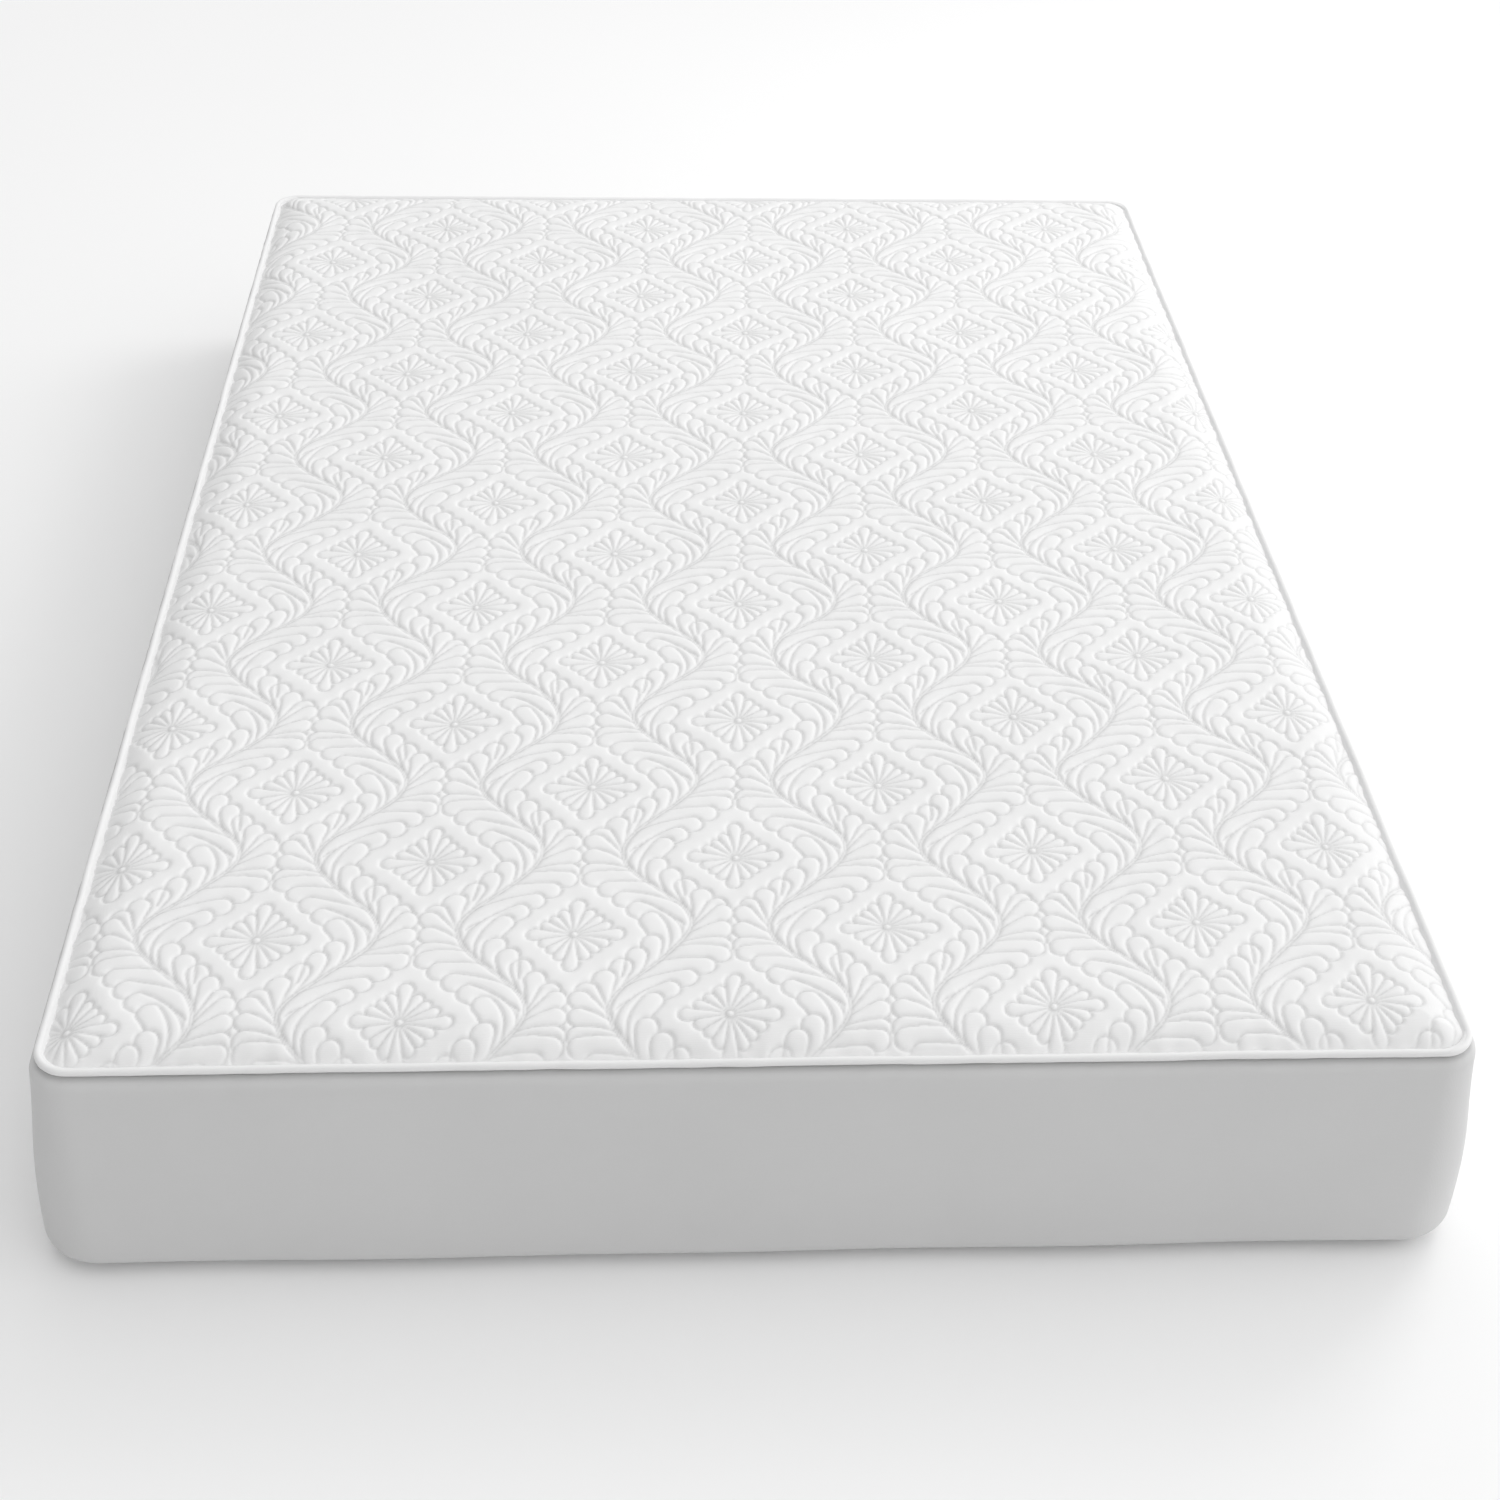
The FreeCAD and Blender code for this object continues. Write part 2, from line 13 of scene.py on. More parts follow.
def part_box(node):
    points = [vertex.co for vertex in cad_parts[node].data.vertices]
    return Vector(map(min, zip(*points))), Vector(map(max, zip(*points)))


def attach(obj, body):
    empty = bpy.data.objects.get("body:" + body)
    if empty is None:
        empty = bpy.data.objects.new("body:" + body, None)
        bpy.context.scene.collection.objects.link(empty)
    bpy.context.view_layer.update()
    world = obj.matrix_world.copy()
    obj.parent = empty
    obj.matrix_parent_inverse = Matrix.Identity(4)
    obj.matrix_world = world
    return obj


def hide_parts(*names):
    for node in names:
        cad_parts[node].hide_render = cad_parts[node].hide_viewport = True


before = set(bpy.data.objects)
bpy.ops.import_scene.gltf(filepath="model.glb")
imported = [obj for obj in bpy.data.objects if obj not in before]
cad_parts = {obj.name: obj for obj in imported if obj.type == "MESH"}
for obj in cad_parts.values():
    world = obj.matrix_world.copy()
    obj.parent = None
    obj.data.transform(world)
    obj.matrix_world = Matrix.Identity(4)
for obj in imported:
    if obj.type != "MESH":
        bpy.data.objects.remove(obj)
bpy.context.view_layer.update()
MM = 0.001
dice = np.random.default_rng(12)


def box(node):
    """A CAD node's lowest and highest corners in millimetres."""
    low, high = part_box(node)
    return np.array(low) / MM, np.array(high) / MM


# ---- Places that come from the CAD part ----

HALF_WIDTH, HALF_LENGTH, SEAM_Z = box("border_band")[1]
PIPING_LOW, PIPING_HIGH = box("piping_cover")
FACE_LOW, FACE_HIGH = box("quilt_face_fabric")
PANEL_HIGH = box("bottom_panel")[1]
TOP_Z = FACE_HIGH[2]
PIPING_RADIUS = (PIPING_HIGH[2] - PIPING_LOW[2]) / 2
PIPING_Z = PIPING_HIGH[2] - PIPING_RADIUS
PIPING_X = PIPING_HIGH[0] - PIPING_RADIUS
PIPING_Y = PIPING_HIGH[1] - PIPING_RADIUS
CORNER_RADIUS = 30.0            # of the line that the piping's middle follows


# ---- Mesh helpers ----

def make_object(name, points, quads, material, caps=()):
    """A smooth-shaded mesh from points in millimetres, four-sided faces and a few larger ones."""
    mesh = bpy.data.meshes.new(name)
    points = np.asarray(points, float).reshape(-1, 3) * MM
    quads = np.asarray(quads, np.int32).reshape(-1, 4)
    corners = np.concatenate([quads.ravel(), *[np.asarray(c, np.int32) for c in caps]])
    sizes = np.concatenate([np.full(len(quads), 4), [len(c) for c in caps]]).astype(np.int32)
    starts = np.concatenate([[0], np.cumsum(sizes)[:-1]]).astype(np.int32)
    mesh.vertices.add(len(points))
    mesh.vertices.foreach_set("co", points.ravel())
    mesh.loops.add(len(corners))
    mesh.loops.foreach_set("vertex_index", corners)
    mesh.polygons.add(len(sizes))
    mesh.polygons.foreach_set("loop_start", starts)
    mesh.polygons.foreach_set("loop_total", sizes)
    mesh.update(calc_edges=True)
    mesh.shade_smooth()
    mesh.materials.append(material)
    piece = bpy.data.objects.new(name, mesh)
    bpy.context.scene.collection.objects.link(piece)
    return piece


def grid_quads(rows, columns, wrap_rows=False, wrap_columns=False, first=0):
    """The faces of a grid of points whose index is row times columns plus column."""
    r = np.arange(rows if wrap_rows else rows - 1)
    c = np.arange(columns if wrap_columns else columns - 1)
    r, c = np.meshgrid(r, c, indexing="ij")
    r1, c1 = (r + 1) % rows, (c + 1) % columns
    quads = np.stack([r * columns + c, r * columns + c1, r1 * columns + c1, r1 * columns + c], -1)
    return quads.reshape(-1, 4) + first


def grid_rim(rows, columns):
    """The outermost points of such a grid, in order round it."""
    index = np.arange(rows * columns).reshape(rows, columns)
    return np.concatenate([index[0, :-1], index[:-1, -1], index[-1, :0:-1], index[:0:-1, 0]])


def rounded_grid(half_x, half_y, radius, step, corner_rows):
    """A grid of points that fills a rounded rectangle, row by row along its length."""
    turn = np.linspace(0, math.pi / 2, corner_rows)
    straight = np.linspace(-(half_y - radius), half_y - radius, int(2 * (half_y - radius) / step))
    corner_y = half_y - radius + radius * np.sin(turn[1:])
    corner_x = half_x - radius + radius * np.cos(turn[1:])
    row_y = np.concatenate([-corner_y[::-1], straight, corner_y])
    row_x = np.concatenate([corner_x[::-1], np.full(len(straight), half_x), corner_x])
    share = np.linspace(-1, 1, int(2 * half_x / step) + 1)
    return row_x[:, None] * share, np.repeat(row_y[:, None], len(share), 1)


def closed_sheet(name, front, back, material, flip=False):
    """A thin closed sheet between two grids of points."""
    rows, columns, _ = front.shape
    count = rows * columns
    rim = grid_rim(rows, columns)
    after = np.roll(rim, -1)
    quads = np.concatenate([grid_quads(rows, columns), grid_quads(rows, columns, first=count)[:, ::-1],
                            np.stack([rim, rim + count, after + count, after], 1)])
    points = np.concatenate([front.reshape(-1, 3), back.reshape(-1, 3)])
    return make_object(name, points, quads[:, ::-1] if flip else quads, material)


def ripples(count, shortest, longest, axes):
    """Seeded smooth noise: a sum of waves over the given number of coordinates, about -1 to 1."""
    lengths = dice.uniform(shortest, longest, count)
    directions = dice.normal(size=(count, axes))
    directions /= np.linalg.norm(directions, axis=1)[:, None]
    waves = directions * (2 * math.pi / lengths)[:, None]
    phases = dice.uniform(0, 2 * math.pi, count)

    def noise(*coordinates):
        total = 0
        for wave, phase in zip(waves, phases):
            total = total + np.sin(sum(w * c for w, c in zip(wave, coordinates)) + phase)
        return total * (2 / count) ** 0.5 * 0.7
    return noise


def smooth_step(t):
    """A smooth rise from 0 to 1."""
    t = np.clip(t, 0, 1)
    return t * t * (3 - 2 * t)


def ring_line(half_x, half_y, radius, step):
    """Points round a rounded rectangle, anticlockwise, with their outward directions.

    The straight sides' points come first to last at even spacing, and each corner gets its own.
    """
    points, outward = [], []
    turns = max(6, int(round(radius * math.pi / 2 / step)))
    for side in range(4):
        angle = side * math.pi / 2
        direction = np.array([math.cos(angle), math.sin(angle)])
        along = np.array([-direction[1], direction[0]])
        reach, run = (half_x, half_y) if side % 2 == 0 else (half_y, half_x)
        count = max(2, int(round(2 * (run - radius) / step)))
        for s in np.linspace(-(run - radius), run - radius, count, endpoint=False):
            points.append(direction * reach + along * s)
            outward.append(direction)
        centre = direction * (reach - radius) + along * (run - radius)
        for a in np.linspace(0, math.pi / 2, turns, endpoint=False):
            n = np.array([math.cos(angle + a), math.sin(angle + a)])
            points.append(centre + n * radius)
            outward.append(n)
    return np.array(points), np.array(outward)


# ---- Materials ----

class Nodes:
    """A short way to write a material's nodes."""

    def __init__(self, name):
        self.material = bpy.data.materials.new(name)
        self.material.use_nodes = True
        self.tree = self.material.node_tree
        self.shader = self.tree.nodes["Principled BSDF"]
        self.place = self.tree.nodes.new("ShaderNodeTexCoord").outputs["Object"]

    def add(self, kind, inputs=None, **settings):
        node = self.tree.nodes.new(kind)
        for key, value in settings.items():
            setattr(node, key, value)
        for key, value in (inputs or {}).items():
            self.feed(node.inputs[key], value)
        return node

    def feed(self, socket, value):
        if isinstance(value, bpy.types.NodeSocket):
            self.tree.links.new(value, socket)
        else:
            socket.default_value = value

    def math(self, operation, a, b=0.0):
        return self.add("ShaderNodeMath", {0: a, 1: b}, operation=operation).outputs[0]

    def noise(self, scale, detail=2.0):
        inputs = {"Vector": self.place, "Scale": scale, "Detail": detail}
        return self.add("ShaderNodeTexNoise", inputs).outputs["Fac"]

    def wave(self, scale, direction, distortion=0.0):
        inputs = {"Vector": self.place, "Scale": scale, "Distortion": distortion}
        return self.add("ShaderNodeTexWave", inputs, wave_type="BANDS",
                        bands_direction=direction).outputs["Fac"]

    def tone(self, factor, low, high):
        """A colour between two greys or tints."""
        ramp = self.add("ShaderNodeMix", {"Factor": factor}, data_type="RGBA")
        self.feed(ramp.inputs["A"], (*low, 1))
        self.feed(ramp.inputs["B"], (*high, 1))
        return ramp.outputs["Result"]

    def darken(self, colour, factor, amount):
        """The colour multiplied down where the factor is high."""
        node = self.add("ShaderNodeMix", {"Factor": self.math("MULTIPLY", factor, amount)},
                        data_type="RGBA", blend_type="MULTIPLY")
        self.feed(node.inputs["A"], colour)
        self.feed(node.inputs["B"], (0, 0, 0, 1))
        return node.outputs["Result"]

    def bump(self, height, distance, strength):
        inputs = {"Height": height, "Distance": distance, "Strength": strength}
        return self.add("ShaderNodeBump", inputs).outputs["Normal"]


def threads(n, pitch):
    """Height of a fine cloth: threads across and along, with a fleck of noise, 0 to about 1."""
    scale = 2 * math.pi / 20 / (pitch * MM)      # a wave texture's band is 20 / (2 pi) long at scale 1
    across = n.wave(scale, "X", 0.6)
    along = n.wave(scale, "Y", 0.6)
    up = n.wave(scale, "Z", 0.6)
    weave = n.math("MULTIPLY", n.math("ADD", across, along), n.math("ADD", up, 0.5))
    fleck = n.noise(1 / (pitch * MM))
    return n.math("ADD", n.math("MULTIPLY", weave, 0.4), n.math("MULTIPLY", fleck, 0.5))


def cloth(name, low, high, roughness, pitch, depth, sheen=0.15, seam_shade=0.0):
    """A woven or knitted cloth with uneven tone, fine threads and a soft sheen, and painted shade along
    its creases where seam_shade is given.
    """
    n = Nodes(name)
    patches = n.noise(6.0, 3.0)
    flecks = n.noise(1 / (pitch * MM) * 0.5, 2.0)
    mottle = n.math("ADD", n.math("MULTIPLY", patches, 0.7), n.math("MULTIPLY", flecks, 0.3))
    colour = n.tone(mottle, low, high)
    # Painted shade: the colour is multiplied down along the marked creases and stitch grooves, where
    # shade falls.
    if seam_shade:
        crease_shade = n.add("ShaderNodeAttribute", attribute_name="crease_shade").outputs["Fac"]
        colour = n.darken(colour, crease_shade, seam_shade)
    n.feed(n.shader.inputs["Base Color"], colour)
    rough = n.math("ADD", n.math("MULTIPLY", flecks, 0.12), roughness - 0.06)
    n.feed(n.shader.inputs["Roughness"], rough)
    n.shader.inputs["Sheen Weight"].default_value = sheen
    n.shader.inputs["Sheen Roughness"].default_value = 0.5
    n.shader.inputs["Specular IOR Level"].default_value = 0.25
    n.feed(n.shader.inputs["Normal"], n.bump(threads(n, pitch), depth * MM, 0.6))
    return n.material


def foam(name, low, high, cell):
    """Open-cell foam: small round pores in an even colour."""
    n = Nodes(name)
    inputs = {"Vector": n.place, "Scale": 1 / (cell * MM)}
    pores = n.add("ShaderNodeTexVoronoi", inputs).outputs["Distance"]
    n.feed(n.shader.inputs["Base Color"], n.tone(n.math("ADD", pores, n.noise(5.0)), low, high))
    n.feed(n.shader.inputs["Roughness"], n.math("ADD", n.math("MULTIPLY", pores, 0.1), 0.85))
    n.shader.inputs["Specular IOR Level"].default_value = 0.2
    n.feed(n.shader.inputs["Normal"], n.bump(pores, 0.4 * MM, 0.7))
    return n.material


def wadding(name, low, high):
    """Matted white fibre."""
    n = Nodes(name)
    fibres = n.noise(700.0, 6.0)
    n.feed(n.shader.inputs["Base Color"], n.tone(fibres, low, high))
    n.feed(n.shader.inputs["Roughness"], n.math("ADD", n.math("MULTIPLY", fibres, 0.1), 0.85))
    n.shader.inputs["Sheen Weight"].default_value = 0.3
    n.feed(n.shader.inputs["Normal"], n.bump(fibres, 0.8 * MM, 0.8))
    return n.material


def hard(name, low, high, metallic, roughness, grain):
    """Lacquered metal or nylon with fine scuffs."""
    n = Nodes(name)
    scuffs = n.noise(grain, 5.0)
    n.feed(n.shader.inputs["Base Color"], n.tone(scuffs, low, high))
    n.feed(n.shader.inputs["Roughness"], n.math("ADD", n.math("MULTIPLY", scuffs, 0.2), roughness - 0.1))
    n.shader.inputs["Metallic"].default_value = metallic
    n.feed(n.shader.inputs["Normal"], n.bump(scuffs, 0.03 * MM, 0.5))
    return n.material


# seam_shade sets the strength of the painted shade in the quilting's stitched grooves and along its edge
# crease.
QUILT_KNIT = cloth("quilt_knit", (0.80, 0.80, 0.80), (0.88, 0.88, 0.88), 0.80, 0.9, 0.12,
                   seam_shade=0.25)
PIPING_CLOTH = cloth("piping_cloth", (0.80, 0.80, 0.80), (0.87, 0.87, 0.87), 0.70, 0.7, 0.08, sheen=0.2)
# The border knit's darker grey stands in for the shade that falls on the sides, which face away from the
# light above. Its seam_shade sets the painted shade under the piping.
BORDER_KNIT = cloth("border_knit", (0.62, 0.62, 0.62), (0.68, 0.68, 0.68), 0.82, 0.8, 0.12, sheen=0.2,
                    seam_shade=0.20)
BOTTOM_CLOTH = cloth("bottom_cloth", (0.62, 0.62, 0.61), (0.70, 0.70, 0.69), 0.90, 1.4, 0.25, sheen=0.05)
TAPE_CLOTH = cloth("tape_cloth", (0.68, 0.68, 0.68), (0.78, 0.78, 0.78), 0.75, 0.6, 0.12)
LABEL_CLOTH = cloth("label_cloth", (0.84, 0.84, 0.84), (0.90, 0.90, 0.90), 0.55, 0.5, 0.05)
SOCK_CLOTH = cloth("sock_cloth", (0.74, 0.74, 0.73), (0.82, 0.82, 0.81), 0.88, 1.2, 0.30)
BACKING_CLOTH = cloth("backing_cloth", (0.76, 0.76, 0.76), (0.84, 0.84, 0.84), 0.9, 1.0, 0.15)
THREAD = cloth("sewing_thread", (0.80, 0.80, 0.80), (0.88, 0.88, 0.88), 0.6, 0.3, 0.05)
ZIP_NYLON = hard("zip_nylon", (0.72, 0.72, 0.72), (0.82, 0.82, 0.82), 0.0, 0.40, 900.0)
ZIP_METAL = hard("zip_metal", (0.62, 0.63, 0.64), (0.74, 0.75, 0.76), 0.85, 0.34, 600.0)


# ---- Quilting: a feather-and-rosette pattern, stitched down and blown up from below ----

TILE_ACROSS, TILE_ALONG = 316.0, 220.0          # the drawn tile, before it is scaled to the cloth
HALF_TILE = TILE_ACROSS / 2
CLOTH_ACROSS, CLOTH_ALONG = 303.0, 223.0        # one repeat on the mattress
ROSETTE_X, ROSETTE_Y = -638.0, -886.0           # the middle of one rosette
DRIFT_X, DRIFT_Y = 0.054, 0.012                 # how far the pattern was fed askew
STEM_MIDDLE, STEM_SWING, STEM_PHASE = TILE_ACROSS / 4, 38.0, 10.0
STEM_HALF_WIDTH = 1.6
LEAVES = 13                                     # on each side of the stem, in one repeat
LEAF_BEND = 0.62                                # how far a leaf first follows the stem
HEAD = 11.3                                     # radius of a leaf's round head
BARE_STALK = 24.0                               # near the stem a leaf has only one line of stitches
HEAD_START, BASE_START = -14.0, 61.0            # where the first leaf touches its line and its stem
BAND = 77.0                                     # across a corner of the line that the heads touch
SLANT = BAND * 2 ** 0.5
STRAIGHT = 2 * (TILE_ALONG / 2 - BAND)
ENVELOPE = 2 * SLANT + STRAIGHT
DIAMOND = 50.0                                  # from a rosette's middle to its corners
PETALS, PETAL_START, PETAL_BULGE = 16, 4.0, 1.15
STITCH_STEP = 0.6
CELL = 0.8                                      # of the grid that the cloth is inflated on
MOST_ROUNDS = 260                               # of the solver


def stem_u(v):
    """Where the wavy stem runs."""
    return STEM_MIDDLE + STEM_SWING * np.cos(2 * math.pi * (v - STEM_PHASE) / TILE_ALONG)


def stem_slope(v):
    """How the stem leans."""
    turn = 2 * math.pi / TILE_ALONG
    return -STEM_SWING * turn * np.sin(turn * (v - STEM_PHASE))


def envelope(p):
    """The point at a distance down the line that the leaf heads touch, and its outward direction."""
    turns, p = divmod(p, ENVELOPE)
    r = 0.5 ** 0.5
    middle = TILE_ALONG / 2
    if p < SLANT:
        u, v, n = HALF_TILE - BAND + p * r, middle - p * r, (r, r)
    elif p < SLANT + STRAIGHT:
        u, v, n = HALF_TILE, middle - BAND - (p - SLANT), (1, 0)
    else:
        q = (p - SLANT - STRAIGHT) * r
        u, v, n = HALF_TILE - q, -(middle - BAND) - q, (r, -r)
    return np.array([u, v - turns * TILE_ALONG]), np.array(n)


def leaf(k):
    """The outline of one leaf of the feather: a curved stalk that widens to a round head."""
    v = BASE_START - k * TILE_ALONG / LEAVES
    base = np.array([stem_u(v), v])
    touch, outward = envelope(HEAD_START + k * ENVELOPE / LEAVES)
    centre = touch - HEAD * outward
    angle = math.atan2(1.0, stem_slope(v))
    up = np.array([math.cos(angle), math.sin(angle)])
    control = base + up * np.linalg.norm(centre - base) * LEAF_BEND
    t = np.linspace(0, 1, 40)[:, None]
    line = (1 - t) ** 2 * base + 2 * t * (1 - t) * control + t ** 2 * centre
    way = np.gradient(line, axis=0)
    way /= np.linalg.norm(way, axis=1)[:, None]
    side = np.stack([-way[:, 1], way[:, 0]], 1)
    width = HEAD * np.sin(math.pi / 2 * t) ** 0.9
    start = math.atan2(side[-1, 1], side[-1, 0])
    arc = start - np.linspace(0, math.pi, 26)[1:-1]
    head = centre + HEAD * np.stack([np.cos(arc), np.sin(arc)], 1)
    return np.concatenate([line + side * width, head, (line - side * width)[::-1]])


def stitched(outline):
    """Evenly spaced stitches along a closed outline."""
    closed = np.vstack([outline, outline[:1]])
    lengths = np.linalg.norm(np.diff(closed, axis=0), axis=1)
    s = np.concatenate([[0], np.cumsum(lengths)])
    q = np.arange(0, s[-1], STITCH_STEP)
    return np.stack([np.interp(q, s, closed[:, 0]), np.interp(q, s, closed[:, 1])], 1)


def inside(outline, points):
    """Which points lie inside a closed outline."""
    x, y = points[:, :1], points[:, 1:]
    x0, y0 = outline[:, 0][None], outline[:, 1][None]
    x1, y1 = np.roll(x0, -1), np.roll(y0, -1)
    crosses = (y0 > y) != (y1 > y)
    rise = np.where(y1 == y0, 1e-9, y1 - y0)
    return np.sum(crosses & (x < x0 + (y - y0) * (x1 - x0) / rise), axis=1) % 2 == 1


def feather():
    """The stitches of one feather: each leaf shows where the leaves below it don't cover it."""
    leaves = [leaf(k) for k in range(2 * LEAVES + 2, -LEAVES - 2, -1)]
    shown = []
    for place, outline in enumerate(leaves):
        points = stitched(outline)
        show = (points[:, 0] > stem_u(points[:, 1]) + 0.6) & (points[:, 0] < HALF_TILE + 0.5)
        returning = np.arange(len(points)) > len(points) / 2
        show &= ~(returning & (np.linalg.norm(points - outline[0], axis=1) < BARE_STALK))
        for lower in leaves[max(0, place - 4):place]:
            show &= ~inside(lower, points)
        shown.append(points[show])
    return np.vstack(shown)


def petal(angle):
    """One petal of a rosette, which reaches to the side of a diamond."""
    c, s = math.cos(angle), math.sin(angle)
    slope = math.tan(math.pi / PETALS)
    centre = DIAMOND / (abs(c) + abs(s)) / (1 + slope * PETAL_BULGE)
    tip = centre * slope
    r = np.linspace(PETAL_START, centre, 30)
    arc = np.linspace(math.pi / 2, -math.pi / 2, 16)[1:-1]
    x = np.concatenate([r, centre + PETAL_BULGE * tip * np.cos(arc), r[::-1]])
    y = np.concatenate([r * slope, tip * np.sin(arc), -r[::-1] * slope])
    return np.stack([c * x - s * y, s * x + c * y], 1)


def all_stitches():
    """Every stitch that touches one half tile, with its neighbours mirrored in."""
    right = feather()
    left = np.stack([HALF_TILE - right[:, 0], right[:, 1] + TILE_ALONG / 2], 1)
    v = np.arange(-TILE_ALONG * 0.6, TILE_ALONG * 1.7, STITCH_STEP)
    slope = stem_slope(v)
    outward = np.stack([np.ones_like(v), -slope], 1) / np.sqrt(1 + slope ** 2)[:, None]
    stem = np.stack([stem_u(v), v], 1)
    lines = [right, left, left - [0, TILE_ALONG],
             stem + outward * STEM_HALF_WIDTH, stem - outward * STEM_HALF_WIDTH]
    rosette = np.vstack([stitched(petal(k * 2 * math.pi / PETALS)) for k in range(PETALS)])
    for u, row in ((0, 0), (0, 2), (HALF_TILE, 1), (HALF_TILE, -1), (HALF_TILE, 3)):
        lines.append(rosette + [u, row * TILE_ALONG / 2])
    points = np.vstack(lines)
    points = np.vstack([points, points * [-1, 1], points * [-1, 1] + [TILE_ACROSS, 0]])
    return points[(points[:, 0] >= 0) & (points[:, 0] <= HALF_TILE)]


def soften(heights):
    """A slight blur over half a tile."""
    wide = np.pad(heights, ((1, 1), (0, 0)), mode="wrap")
    wide = np.pad(wide, ((0, 0), (1, 1)), mode="reflect")
    rows = (wide[:-2] + 2 * wide[1:-1] + wide[2:]) / 4
    return (rows[:, :-2] + 2 * rows[:, 1:-1] + rows[:, 2:]) / 4


def inflate():
    """Heights of the puffed cloth over half a tile, and a map of its stitches, both 0 to about 1.

    The cloth is a membrane pushed up by the filling under it and held down at every stitch, and the
    filling pushes back as it rises. Conjugate gradients settle its shape.
    """
    step = CELL
    across, along = int(round(HALF_TILE / step)) + 1, int(round(TILE_ALONG / step))
    free = np.ones((along, across), bool)
    points = all_stitches()
    free[np.round(points[:, 1] / step).astype(int) % along,
         np.clip(np.round(points[:, 0] / step).astype(int), 0, across - 1)] = False

    def settle(reach):
        def push(h):
            wide = np.pad(h, ((0, 0), (1, 1)), mode="reflect")
            spread = wide[:, 2:] + wide[:, :-2] + np.roll(h, 1, 0) + np.roll(h, -1, 0) - 4 * h
            return np.where(free, h * (step / reach) ** 2 - spread, 0)
        weight = np.ones((along, across))
        weight[:, [0, -1]] = 0.5
        target = np.where(free, (step / reach) ** 2, 0.0)
        h = np.zeros((along, across))
        left = target - push(h)
        way = left.copy()
        size = np.sum(weight * left * left)
        for _ in range(MOST_ROUNDS):
            pushed = push(way)
            amount = size / max(np.sum(weight * way * pushed), 1e-30)
            h += amount * way
            left -= amount * pushed
            new_size = np.sum(weight * left * left)
            way = left + way * (new_size / max(size, 1e-30))
            size = new_size
            if size < 1e-9:
                break
        return h

    heights = soften(0.90 * settle(1.3) + 0.38 * settle(6.0))
    return heights, soften(np.where(free, 0.0, 1.0))


def sample(heights, x, y):
    """A half tile's heights at places on the mattress."""
    right, up = x - ROSETTE_X, y - ROSETTE_Y
    u = (right - DRIFT_X * up) * TILE_ACROSS / CLOTH_ACROSS
    u = np.abs((u + HALF_TILE) % TILE_ACROSS - HALF_TILE) / CELL
    v = ((up - DRIFT_Y * right) * TILE_ALONG / CLOTH_ALONG % TILE_ALONG) / CELL
    rows, columns = heights.shape
    c = np.clip(np.floor(u).astype(int), 0, columns - 2)
    r = np.floor(v).astype(int) % rows
    r1 = (r + 1) % rows
    fu, fv = u - c, v - np.floor(v)
    low = heights[r, c] * (1 - fu) + heights[r, c + 1] * fu
    high = heights[r1, c] * (1 - fu) + heights[r1, c + 1] * fu
    return low * (1 - fv) + high * fv


def mark_crease_shade(piece, values):
    """Tell a cloth's material where to paint shade in its creases and along its seams, point by point."""
    crease_shade = piece.data.attributes.new("crease_shade", "FLOAT", "POINT")
    crease_shade.data.foreach_set("value", values.astype(np.float32))


